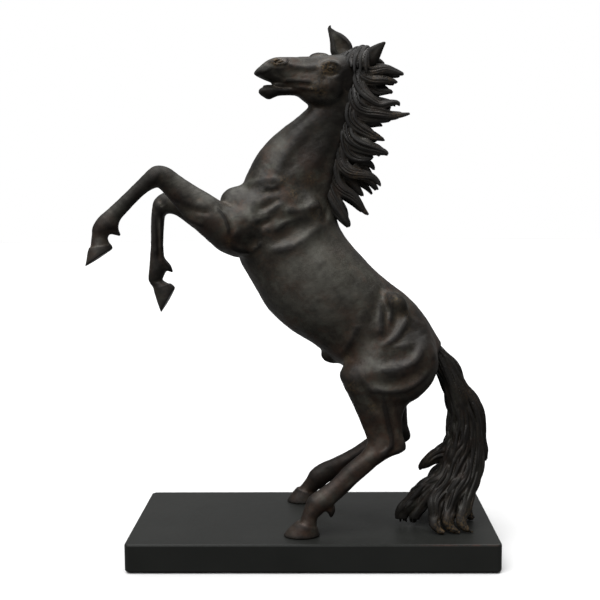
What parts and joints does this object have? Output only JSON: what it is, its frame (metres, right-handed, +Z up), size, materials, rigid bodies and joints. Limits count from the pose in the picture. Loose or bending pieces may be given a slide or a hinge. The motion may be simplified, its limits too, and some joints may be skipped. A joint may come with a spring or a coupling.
{
  "type": "rearing horse statue",
  "caption": "Bronze statue of a rearing horse with open mouth, windswept mane and long tail on a black rectangular plinth.",
  "frame": {"origin": "centre of the underside of the felt under the plinth", "axes": "+Z up; the horse faces -X; its left side faces -Y; +Y across the plinth"},
  "size_m": [0.3875, 0.165, 0.5118],
  "materials": {
    "bronze": "dark brown patina, satin, rubbed to gold on high edges",
    "black_wood": "satin black paint",
    "felt": "felt",
    "steel": "zinc plated"
  },
  "bodies": {
    "root": {"plinth": "black_wood", "felt_sheet": "felt", "trunk": "bronze", "neck": "bronze", "head": "bronze", "mane": "bronze", "tail": "bronze", "left_foreleg": "bronze", "right_foreleg": "bronze", "left_hind_leg": "bronze", "right_hind_leg": "bronze", "head_dowel": "steel", "left_foreleg_dowel": "steel", "right_foreleg_dowel": "steel", "left_hind_leg_dowel": "steel", "right_hind_leg_dowel": "steel", "tail_dowel": "steel", "left_hoof_stud": "steel", "left_hoof_washer": "steel", "left_hoof_nut": "steel", "right_hoof_stud": "steel", "right_hoof_washer": "steel", "right_hoof_nut": "steel", "tail_stud": "steel", "tail_washer": "steel", "tail_nut": "steel"}
  },
  "joints": []
}
